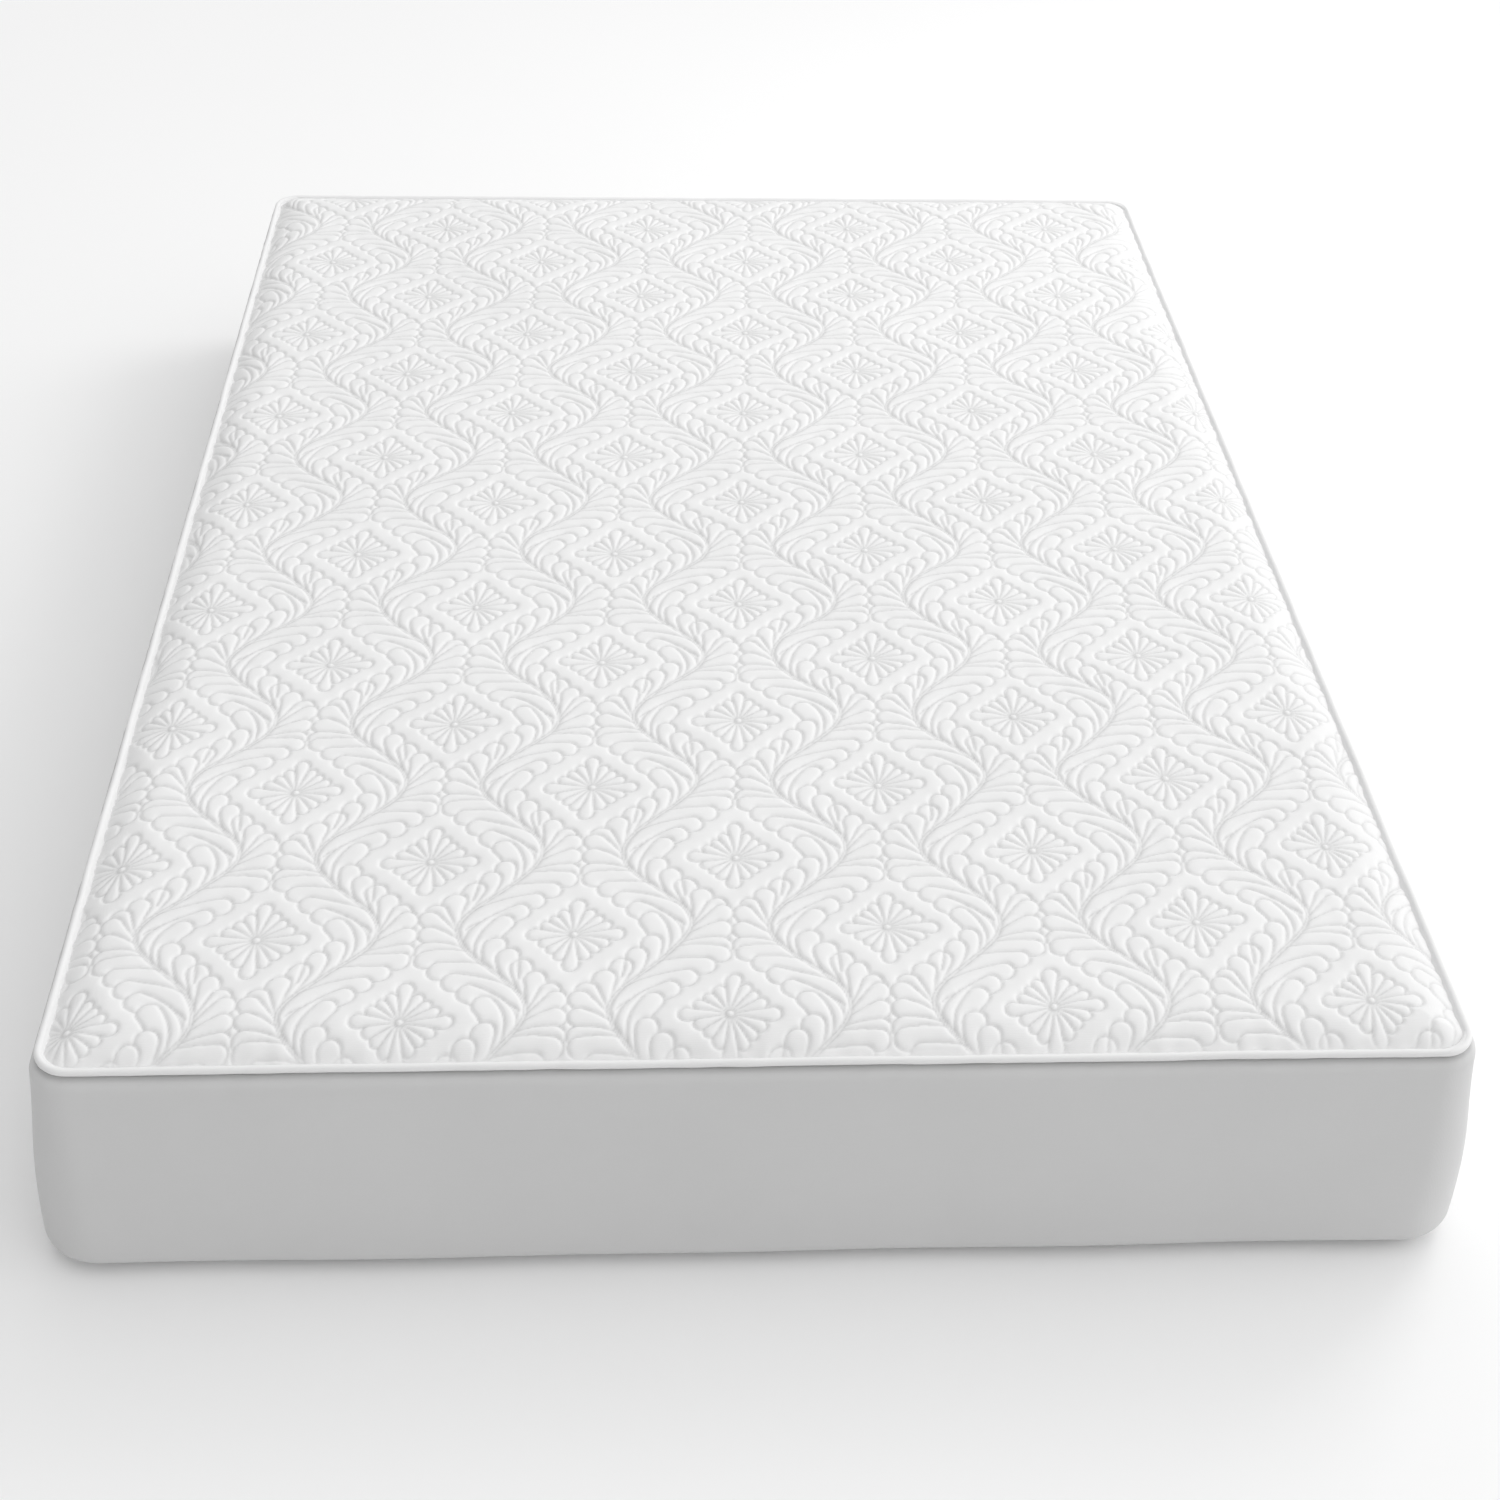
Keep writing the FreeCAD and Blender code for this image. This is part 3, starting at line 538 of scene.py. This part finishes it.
def make_quilt():
    """The quilted top: a crowned, closed pad whose upper side carries the inflated pattern."""
    tuck = 2.5                                   # how far the quilt's edge tucks in under the piping
    half_x = PIPING_X - PIPING_RADIUS + tuck
    half_y = PIPING_Y - PIPING_RADIUS + tuck
    radius = CORNER_RADIUS - PIPING_RADIUS + tuck
    step = 1.6
    x, y = rounded_grid(half_x, half_y, radius, step, int(radius * math.pi / 2 / step) + 1)

    near_x, near_y = np.abs(x) - (half_x - radius), np.abs(y) - (half_y - radius)
    beyond = np.hypot(np.maximum(near_x, 0), np.maximum(near_y, 0))
    depth = radius - beyond - np.minimum(np.maximum(near_x, near_y), 0)
    depth = np.maximum(depth, 0)
    in_corner = (near_x > 0) & (near_y > 0)
    stretch = radius / np.maximum(beyond, 1e-6)
    edge_x = np.where(in_corner, np.sign(x) * (half_x - radius + near_x * stretch),
                      np.where(near_x > near_y, np.sign(x) * half_x, x))
    edge_y = np.where(in_corner, np.sign(y) * (half_y - radius + near_y * stretch),
                      np.where(near_x > near_y, y, np.sign(y) * half_y))

    heights, stitches = inflate()
    wander = 1.5                                 # how far the needle strays from the drawn lines
    sewn_x = x + wander * ripples(9, 70, 200, 2)(x, y)
    sewn_y = y + wander * ripples(9, 70, 200, 2)(x, y)
    puff = sample(heights, sewn_x, sewn_y)
    puff_size, pucker_size, billow_size, grain_size = 2.45, 0.9, 0.7, 0.15
    edge_z, crown_width = SEAM_Z + 2.0, 62.0
    flat_z = TOP_Z - 3.0
    crown = 1 - (1 - np.clip((depth - tuck) / crown_width, 0, 1)) ** 2.3
    hold = 1 - np.exp(-depth / 7)
    puckers = ripples(9, 16, 44, 2)(edge_x, edge_y) * np.exp(-depth / 13) * smooth_step(depth / 3)
    billow = ripples(7, 240, 620, 2)(x, y) * smooth_step(depth / 120)
    grain = ripples(12, 22, 60, 2)(x, y)
    z = (edge_z + (flat_z - edge_z) * crown + puff_size * puff * hold
         + pucker_size * puckers + billow_size * billow + grain_size * grain * hold)

    top = np.stack([x, y, z], -1).reshape(-1, 3)
    rim = grid_rim(*x.shape)
    under = top[rim] * [1, 1, 0] + [0, 0, FACE_LOW[2] + 0.2]
    below = np.arange(len(rim)) + len(top)
    after = np.roll(np.arange(len(rim)), -1)
    wall = np.stack([rim, below, below[after], rim[after]], 1)
    quads = np.concatenate([grid_quads(*x.shape), wall])
    quilt = make_object("quilted_top", np.concatenate([top, under]), quads, QUILT_KNIT, [below[::-1]])
    # Painted shade: the knit is darkened along its stitched grooves, where shade falls between the puffs.
    crease_shade = np.clip(sample(stitches, sewn_x, sewn_y) / 0.7, 0, 1) * hold
    # Painted shade: a darker line along the crease where the quilt's edge tucks under the piping.
    crease_shade += 0.5 * np.exp(-(depth / 4.0) ** 2)
    mark_crease_shade(quilt, np.concatenate([crease_shade.ravel(), np.zeros(len(under))]))
    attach(quilt, "mattress")
    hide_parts("quilt_face_fabric", "quilt_fill")


# ---- Piping and border ----

def make_piping():
    """The piping: a soft fabric tube, a little uneven, with its flange tucked in between the panels."""
    line, outward = ring_line(PIPING_X, PIPING_Y, CORNER_RADIUS, 4.0)
    uneven = ripples(8, 25, 90, 2)(line[:, 0], line[:, 1])
    sway = ripples(8, 60, 200, 2)(line[:, 0], line[:, 1])
    lift = ripples(8, 60, 240, 2)(line[:, 0], line[:, 1])
    uneven_size, sway_size, lift_size, flatness = 0.16, 0.35, 0.3, 0.96
    flange_end, flange_heights = 11.0, (-2.2, -3.4)
    radius = PIPING_RADIUS - 0.15 + uneven_size * uneven
    rows = []
    for angle in np.radians(np.linspace(-170, 170, 19)):
        out, up = np.cos(angle) * radius, np.sin(angle) * radius
        rows.append(np.column_stack([line + outward * (out + sway_size * sway)[:, None],
                                     PIPING_Z + up * flatness + lift_size * lift]))
    for up in flange_heights:
        rows.append(np.column_stack([line - outward * flange_end, np.full(len(line), PIPING_Z + up)]))
    points = np.stack(rows)
    quads = grid_quads(len(rows), len(line), wrap_rows=True, wrap_columns=True)
    piping = make_object("piping_tube", points, quads[:, ::-1], PIPING_CLOTH)
    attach(piping, "mattress")
    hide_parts("piping_cover")


SIDE_INSET = 26.0               # from the foot of the side in to the seam
SHOULDER, FOOT = 16.0, 28.0
LEAN = 14.0                     # between the foot and the shoulder
BULGE = 8.0
MOUTH_HALF, MOUTH_LOW, MOUTH_HIGH = 604.0, 35.0, 53.0      # of the zip's channel
CHANNEL_FLOOR = HALF_LENGTH - 8.8
HEM_DEPTHS = (0.5, 1.6, 4.0)
CLOTH_THICKNESS = 1.5


def side_reach(z):
    """How far the leaning side stands out from the foot's plane, inwards being negative."""
    return -LEAN * np.clip((z - FOOT) / (SEAM_Z - SHOULDER - FOOT), 0, 1)


def side_bulge(z):
    """How much further out the padding pushes the cloth at a height, at most 1."""
    t = np.clip((SEAM_Z - SHOULDER - z) / (SEAM_Z - SHOULDER - FOOT), 0, 1)
    return np.sin(math.pi * t ** 1.15 * 0.72) * smooth_step(z / FOOT)


def border_section(step):
    """The side's section from under the piping down to the floor: how far out, and how high."""
    start = [(-SIDE_INSET - 6, SEAM_Z - 0.4), (-SIDE_INSET - 4.5, SEAM_Z - 0.1)]
    shoulder = [(-LEAN - SHOULDER + SHOULDER * math.sin(a), SEAM_Z - SHOULDER + SHOULDER * math.cos(a))
                for a in np.linspace(0, math.pi / 2, 9)]
    plain = np.arange(SEAM_Z - SHOULDER - step, MOUTH_HIGH + 2, -step)
    channel = (MOUTH_HIGH, 47.0, 41.0, MOUTH_LOW, 31.0)        # the zip's channel needs rows here
    side = [(side_reach(z), z) for z in (*plain, *channel)]
    foot = [(-FOOT + FOOT * math.cos(a), FOOT - FOOT * math.sin(a))
            for a in np.linspace(0, math.pi / 2, 11)]
    end = [(-FOOT - 6, 0.15)]
    return np.array([*start, *shoulder, *side, *foot, *end])


def make_border():
    """The knitted border: one band of cloth round the sides, with a hemmed channel for the zip."""
    step = 5.0
    line, outward = ring_line(HALF_WIDTH, HALF_LENGTH, CORNER_RADIUS + SIDE_INSET - 1, step)
    head = outward[:, 1] > 0.999
    for end in (-MOUTH_HALF, MOUTH_HALF):
        nearest = np.argmin(np.where(head, np.abs(line[:, 0] - end), 1e9))
        line[nearest, 0] = end
    section = border_section(step)
    restraint = 1 - 0.75 * smooth_step(outward[:, 1])
    sway = ripples(10, 90, 420, 3)
    creases = ripples(9, 14, 40, 2)(line[:, 0], line[:, 1])
    rows = []
    for out, z in section:
        swell = BULGE * side_bulge(z) * restraint
        below = SEAM_Z - z
        soft = 0.8 * sway(line[:, 0], line[:, 1], z) * smooth_step(below / 30) * smooth_step(z / 20)
        pinch = 0.5 * creases * math.exp(-below / 9) * smooth_step((below - 0.5) / 4)
        rows.append(np.column_stack([line + outward * (out + swell + soft * restraint + pinch)[:, None],
                                     np.full(len(line), z)]))
    points = np.stack(rows)
    quads = grid_quads(len(rows), len(line), wrap_columns=True)[:, ::-1]
    middle = points.reshape(-1, 3)[quads].mean(1)
    mouth = ((middle[:, 1] > HALF_LENGTH - 12) & (np.abs(middle[:, 0]) < MOUTH_HALF)
             & (middle[:, 2] > MOUTH_LOW) & (middle[:, 2] < MOUTH_HIGH))
    border = make_object("knitted_border", points, quads[~mouth], BORDER_KNIT)
    hem_channel(border, points.reshape(-1, 3), quads[mouth])
    # Painted shade: a darker band along the top of the border, just under the piping, where the piping
    # shades it.
    places = np.zeros(len(border.data.vertices) * 3, np.float32)
    border.data.vertices.foreach_get("co", places)
    below = SEAM_Z - places[2::3] / MM
    mark_crease_shade(border, np.exp(-(below / 4.0) ** 4))
    cloth_sides = border.modifiers.new("cloth_thickness", "SOLIDIFY")
    cloth_sides.thickness = CLOTH_THICKNESS * MM
    cloth_sides.offset = -1
    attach(border, "mattress")
    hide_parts("border_band")
    return border


def hem_channel(border, points, removed):
    """Turn the cloth inwards all round the zip's channel, with a soft lip."""
    edges = {}
    for quad in removed:
        for a, b in zip(quad, np.roll(quad, -1)):
            edges[(a, b)] = edges.get((b, a)) is None
            if not edges[(a, b)]:
                edges[(b, a)] = False
    rim = [pair for pair, alone in edges.items() if alone]
    follow = {int(a): int(b) for a, b in rim}
    loop = [int(rim[0][0])]
    while follow[loop[-1]] != loop[0]:
        loop.append(follow[loop[-1]])
    edge = points[loop]
    mesh = border.data
    count = len(mesh.vertices)
    rings = [edge - [0, depth, 0] for depth in HEM_DEPTHS]
    rings.append(np.column_stack([edge[:, 0], np.full(len(edge), CHANNEL_FLOOR), edge[:, 2]]))
    mesh.vertices.add(len(rings) * len(loop))
    all_points = np.concatenate([points, *rings]) * MM
    mesh.vertices.foreach_set("co", all_points.ravel())
    size = len(loop)
    faces = []
    for level in range(len(rings)):
        first = np.array(loop) if level == 0 else count + (level - 1) * size + np.arange(size)
        second = count + level * size + np.arange(size)
        faces.append(np.stack([first, np.roll(first, -1), np.roll(second, -1), second], 1))
    faces = np.concatenate(faces)
    start_loops = len(mesh.loops)
    mesh.loops.add(faces.size)
    mesh.polygons.add(len(faces))
    corner = np.zeros(len(mesh.loops), np.int32)
    mesh.loops.foreach_get("vertex_index", corner)
    corner[start_loops:] = faces.ravel()
    mesh.loops.foreach_set("vertex_index", corner)
    mesh.polygons.foreach_set("loop_start", np.arange(len(mesh.polygons), dtype=np.int32) * 4)
    mesh.polygons.foreach_set("loop_total", np.full(len(mesh.polygons), 4, np.int32))
    mesh.update(calc_edges=True)
    mesh.shade_smooth()


def make_bottom():
    """The bottom panel: a plain sheet with its edge tucked under the border."""
    tuck, thickness = 2, 1.6
    half_x, half_y = PANEL_HIGH[0] + tuck, PANEL_HIGH[1] + tuck
    radius = CORNER_RADIUS - 1
    step = 8.0
    x, y = rounded_grid(half_x, half_y, radius, step, 9)
    low = np.clip(0.25 + 0.2 * ripples(10, 60, 260, 2)(x, y), 0.0, 0.6)
    panel = closed_sheet("bottom_cloth", np.stack([x, y, low + thickness], -1), np.stack([x, y, low], -1),
                         BOTTOM_CLOTH)
    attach(panel, "mattress")
    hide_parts("bottom_panel")


# ---- Zip and label ----

def make_tape(side):
    """One woven zip tape, with a slight ripple."""
    low, high = box(f"zipper_tape_{side}")
    x, z = np.meshgrid(np.linspace(low[0], high[0], 480),
                       np.linspace(low[2], high[2], 9), indexing="ij")
    ripple = 0.05 * ripples(8, 25, 90, 2)(x, z)
    toward_coil = (z - low[2] if side == "lower" else high[2] - z) / (high[2] - low[2])
    ridge = 0.1 * np.exp(-((toward_coil - 0.9) / 0.05) ** 2)
    front = np.stack([x, high[1] - 0.1 + ripple + ridge, z], -1)
    back = np.stack([x, low[1] + ripple, z], -1)
    tape = closed_sheet(f"woven_tape_{side}", front, back, TAPE_CLOTH, flip=True)
    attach(tape, "mattress")
    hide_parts(f"zipper_tape_{side}")


def make_coil(side):
    """One nylon coil: a flattened helix that meets the other in the middle of the zip."""
    low, high = box(f"zipper_coil_{side}")
    wire, pitch, reach = 0.45, 2.2, 0.3          # reach is how far it meshes past the CAD strip
    middle_z = (low[2] + high[2]) / 2 + (-reach / 2 if side == "upper" else reach / 2)
    half_z = (high[2] - low[2] + reach) / 2 - wire
    half_y, middle_y = (high[1] - low[1]) / 2 - wire, (high[1] + low[1]) / 2
    turns = (high[0] - low[0] - 2 * wire) / pitch
    around, sides = ((12, 6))
    t = np.arange(0, turns, 1 / around)
    angle = 2 * math.pi * t + (0 if side == "upper" else math.pi)
    line = np.stack([low[0] + wire + t * pitch, middle_y + half_y * np.sin(angle),
                     middle_z + half_z * np.cos(angle)], 1)
    way = np.gradient(line, axis=0)
    way /= np.linalg.norm(way, axis=1)[:, None]
    first = np.cross(way, [1.0, 0.0, 0.0])
    first /= np.linalg.norm(first, axis=1)[:, None]
    second = np.cross(way, first)
    rings = [line + wire * (math.cos(a) * first + math.sin(a) * second)
             for a in np.linspace(0, 2 * math.pi, sides, endpoint=False)]
    points = np.stack(rings, 1)
    quads = grid_quads(len(line), sides, wrap_columns=True)
    last = (len(line) - 1) * sides
    coil = make_object(f"nylon_coil_{side}", points, quads, ZIP_NYLON,
                       [np.arange(sides)[::-1], last + np.arange(sides)])
    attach(coil, "mattress")
    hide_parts(f"zipper_coil_{side}")


def make_label():
    """The blank care label, sewn along its top edge and hanging a little free."""
    low, high = box("care_label")
    x, z = np.meshgrid(np.linspace(low[0], high[0], 33), np.linspace(low[2], high[2], 46),
                       indexing="ij")
    drop = (high[2] - z) / (high[2] - low[2])
    across = (x - low[0]) / (high[0] - low[0])
    surface = HALF_LENGTH + side_reach(z) + 0.25 * BULGE * side_bulge(z) + 1.0
    curl = 2.2 * drop ** 2 * (0.7 + 0.3 * np.cos(2 * math.pi * across))
    curl += 0.2 * np.sin(7 * across + 5 * drop)
    sewn = -0.25 * np.exp(-((drop - 0.05) / 0.012) ** 2)
    front = np.stack([x, surface + curl + sewn, z], -1)
    label = closed_sheet("blank_label", front, front - [0, 0.35, 0], LABEL_CLOTH, flip=True)
    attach(label, "mattress")
    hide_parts("care_label")
    return label


THREAD_PITCH = 4.0              # from one stitch to the next
THREAD_SHAPE = ((-1.5, -0.25, 0.10), (-1.1, 0.0, 0.25), (0, 0.10, 0.30), (1.1, 0.0, 0.25),
                (1.5, -0.25, 0.10))             # place along a stitch, height out of the cloth, radius
THREAD_SIDES = 6
HEM = 4.5                       # from a cloth's edge to its row of stitches


def sew(name, base, corners):
    """A row of stitches over a cloth on the head end, from corner to corner, each bedded in it."""
    surface = BVHTree.FromObject(base, bpy.context.evaluated_depsgraph_get())
    clear_y = HALF_LENGTH + 40
    outward = np.array([0, 1.0, 0])
    turns = np.linspace(0, 2 * math.pi, THREAD_SIDES, endpoint=False)[:, None]
    rings = []
    for start, end in zip(corners, corners[1:]):
        run = math.dist(start, end)
        way = np.array([end[0] - start[0], 0, end[1] - start[1]]) / run
        circle = np.cos(turns) * np.cross(outward, way) + np.sin(turns) * outward
        count = int(run / THREAD_PITCH)
        for share in (np.arange(count) + 0.5) / count:
            x, z = start[0] + way[0] * run * share, start[1] + way[2] * run * share
            hit = surface.ray_cast((x * MM, clear_y * MM, z * MM), (0, -1, 0))[0]
            for along, rise, thick in THREAD_SHAPE:
                rings.append(np.array([x, hit.y / MM + rise, z]) + way * along + thick * circle)
    levels = len(THREAD_SHAPE)
    firsts = np.arange(0, len(rings), levels) * THREAD_SIDES
    lasts = firsts + (levels - 1) * THREAD_SIDES
    quads = grid_quads(levels, THREAD_SIDES, wrap_columns=True) + firsts[:, None, None]
    ring = np.arange(THREAD_SIDES)
    caps = [cap for first, last in zip(firsts, lasts) for cap in (first + ring[::-1], last + ring)]
    stitches = make_object(name, np.array(rings), quads, THREAD, caps)
    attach(stitches, "mattress")


# ---- CAD nodes that stay ----

def dress_cad():
    """Materials for every CAD node, shown or hidden."""
    materials = {
        "base_support_foam": foam("base_foam", (0.70, 0.70, 0.67), (0.78, 0.78, 0.75), 1.4),
        "transition_foam": foam("transition_foam", (0.60, 0.66, 0.72), (0.68, 0.74, 0.80), 1.1),
        "memory_foam_layer": foam("memory_foam", (0.78, 0.76, 0.66), (0.86, 0.84, 0.74), 0.8),
        "inner_sock": SOCK_CLOTH,
        "quilt_backing": BACKING_CLOTH,
        "quilt_fill": wadding("quilt_fibre", (0.82, 0.82, 0.82), (0.90, 0.90, 0.90)),
        "quilt_face_fabric": QUILT_KNIT,
        "piping_cord": wadding("cord_fibre", (0.80, 0.80, 0.80), (0.88, 0.88, 0.88)),
        "piping_cover": PIPING_CLOTH,
        "border_band": BORDER_KNIT,
        "border_wadding": wadding("wadding_fibre", (0.80, 0.80, 0.80), (0.88, 0.88, 0.88)),
        "bottom_panel": BOTTOM_CLOTH,
        "zipper_tape_upper": TAPE_CLOTH,
        "zipper_tape_lower": TAPE_CLOTH,
        "zipper_coil_upper": ZIP_NYLON,
        "zipper_coil_lower": ZIP_NYLON,
        "care_label": LABEL_CLOTH,
    }
    for node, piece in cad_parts.items():
        piece.data.materials.clear()
        piece.data.materials.append(materials.get(node, ZIP_METAL))
    for node in ("zipper_slider", "zipper_pull_tab", "zipper_top_stop_upper", "zipper_top_stop_lower",
                 "zipper_bottom_stop"):
        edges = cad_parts[node].modifiers.new("soft_edges", "BEVEL")
        edges.width = 0.25 * MM
        edges.segments = 2
        edges.limit_method = "ANGLE"
    for node in ("inner_sock", "quilt_backing"):
        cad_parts[node].modifiers.new("joined_faces", "WELD").merge_threshold = 0.01 * MM


# ---- Floor, light and camera ----

FLOOR_REACH = 60000.0
LIGHT_FROM = (0.52, 0.08, 0.85)                 # the way to the brightest part of the sky
SKY_FADE = (("From Min", -0.1), ("From Max", 0.95), ("To Min", 0.28), ("To Max", 1.22))
BACKDROP = 0.94                                 # the sky's brightness as the camera sees it
CAMERA_PLACE = (-118.6, -2346.4, 1731.7)
CAMERA_TURNS = (38.16, 3.79, 1.94)              # degrees down, to the right, and of roll
LENS, SENSOR = 53.43, 36.0


def make_floor():
    """A plain pale floor."""
    n = Nodes("floor_paint")
    colour = n.tone(n.noise(0.8, 2.0), (0.93, 0.93, 0.93), (0.95, 0.95, 0.95))
    n.feed(n.shader.inputs["Base Color"], colour)
    n.feed(n.shader.inputs["Roughness"], n.math("ADD", n.math("MULTIPLY", n.noise(40.0), 0.1), 0.75))
    corners = FLOOR_REACH * np.array([(-1, -1, 0), (1, -1, 0), (1, 1, 0), (-1, 1, 0)])
    floor = make_object("studio_floor", corners, [(0, 1, 2, 3)], n.material)


def add_light(name, place, target, size, power):
    """A square softbox that points at a target."""
    data = bpy.data.lights.new(name, "AREA")
    data.size = size * MM
    data.energy = power
    lamp = bpy.data.objects.new(name, data)
    bpy.context.scene.collection.objects.link(lamp)
    way = np.array(target, float) - np.array(place, float)
    aim(lamp, place, way / np.linalg.norm(way), np.array([0, 0, 1.0]))


def aim(thing, place, forward, up):
    """Stand a lamp or a camera at a place, looking forward."""
    right = np.cross(forward, up)
    right /= np.linalg.norm(right)
    up = np.cross(right, forward)
    rotation = Matrix([[*v] for v in zip(right, up, -forward)]).to_4x4()
    thing.matrix_world = Matrix.Translation(np.array(place, float) * MM) @ rotation


def make_studio():
    """Soft light from above and a little from the right, which fades towards the horizon."""
    world = bpy.data.worlds.new("studio")
    world.use_nodes = True
    tree = world.node_tree
    place = tree.nodes.new("ShaderNodeTexCoord").outputs["Generated"]
    height = tree.nodes.new("ShaderNodeVectorMath")
    height.operation = "DOT_PRODUCT"
    tree.links.new(place, height.inputs[0])
    height.inputs[1].default_value = LIGHT_FROM
    fade = tree.nodes.new("ShaderNodeMapRange")
    fade.interpolation_type = "SMOOTHSTEP"
    tree.links.new(height.outputs["Value"], fade.inputs["Value"])
    for name, value in SKY_FADE:
        fade.inputs[name].default_value = value
    backdrop = tree.nodes.new("ShaderNodeMix")
    seen = tree.nodes.new("ShaderNodeLightPath").outputs["Is Camera Ray"]
    tree.links.new(seen, backdrop.inputs["Factor"])
    tree.links.new(fade.outputs["Result"], backdrop.inputs["A"])
    backdrop.inputs["B"].default_value = BACKDROP
    tree.links.new(backdrop.outputs["Result"], tree.nodes["Background"].inputs["Strength"])
    tree.nodes["Background"].inputs["Color"].default_value = (1, 1, 1, 1)
    bpy.context.scene.world = world
    add_light("key_softbox", (2200, 1500, 2400), (100, 0, 200), 1500, 26)
    add_light("side_softbox", (3600, -900, 900), (600, -500, 150), 1600, 7)
    bpy.context.scene.view_settings.view_transform = "Standard"


def make_camera():
    """The camera, from above the foot end."""
    pitch, yaw, roll = (math.radians(a) for a in CAMERA_TURNS)
    forward = np.array([math.sin(yaw) * math.cos(pitch), math.cos(yaw) * math.cos(pitch),
                        -math.sin(pitch)])
    level = np.array([math.cos(yaw), -math.sin(yaw), 0.0])
    upright = np.cross(level, forward)
    up = -level * math.sin(roll) + upright * math.cos(roll)
    data = bpy.data.cameras.new("camera")
    data.lens, data.sensor_width = LENS, SENSOR
    data.clip_end = 100
    camera = bpy.data.objects.new("camera", data)
    bpy.context.scene.collection.objects.link(camera)
    aim(camera, CAMERA_PLACE, forward, up)
    bpy.context.scene.camera = camera


make_quilt()
make_piping()
border = make_border()
make_bottom()
for half in ("upper", "lower"):
    make_tape(half)
    make_coil(half)
label = make_label()
left, low, right, high = -MOUTH_HALF - HEM, MOUTH_LOW - HEM, MOUTH_HALF + HEM, MOUTH_HIGH + HEM
sew("zip_topstitch", border, [(left, low), (right, low), (right, high), (left, high), (left, low)])
label_low, label_high = box("care_label")
left, right, high = label_low[0] + 2, label_high[0] - 2, label_high[2] - HEM
sew("label_stitches", label, [(left, high), (right, high)])
dress_cad()
make_floor()
make_studio()
make_camera()

bpy.context.view_layer.update()
